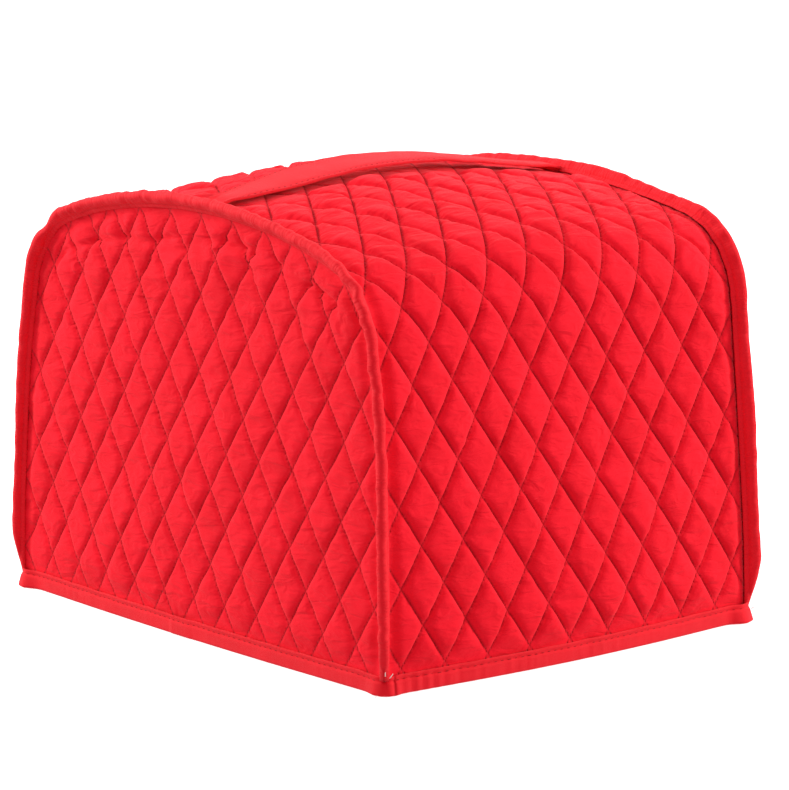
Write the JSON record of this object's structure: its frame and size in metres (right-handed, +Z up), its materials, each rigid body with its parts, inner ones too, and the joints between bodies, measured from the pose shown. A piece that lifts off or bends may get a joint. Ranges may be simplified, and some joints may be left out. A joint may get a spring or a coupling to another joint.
{
  "type": "quilted toaster cover",
  "caption": "Quilted fabric toaster cover with arched ends, open below, with bound seams and hem and a strap handle across the top.",
  "frame": {"origin": "on the surface it stands on, under the middle of the cover's box", "axes": "+Z up; the front arched panel faces -Y, and the strip's short sides face +X and -X"},
  "size_m": [0.3, 0.2355, 0.2216],
  "materials": {
    "quilted_cloth": "matt brushed polyester, quilted in diamonds",
    "binding_tape": "plain woven folded tape with a slight sheen"
  },
  "bodies": {
    "root": {"strip": "quilted_cloth", "front_panel": "quilted_cloth", "back_panel": "quilted_cloth", "front_binding": "binding_tape", "back_binding": "binding_tape", "hem_binding": "binding_tape", "handle_strap": "binding_tape"}
  },
  "joints": []
}
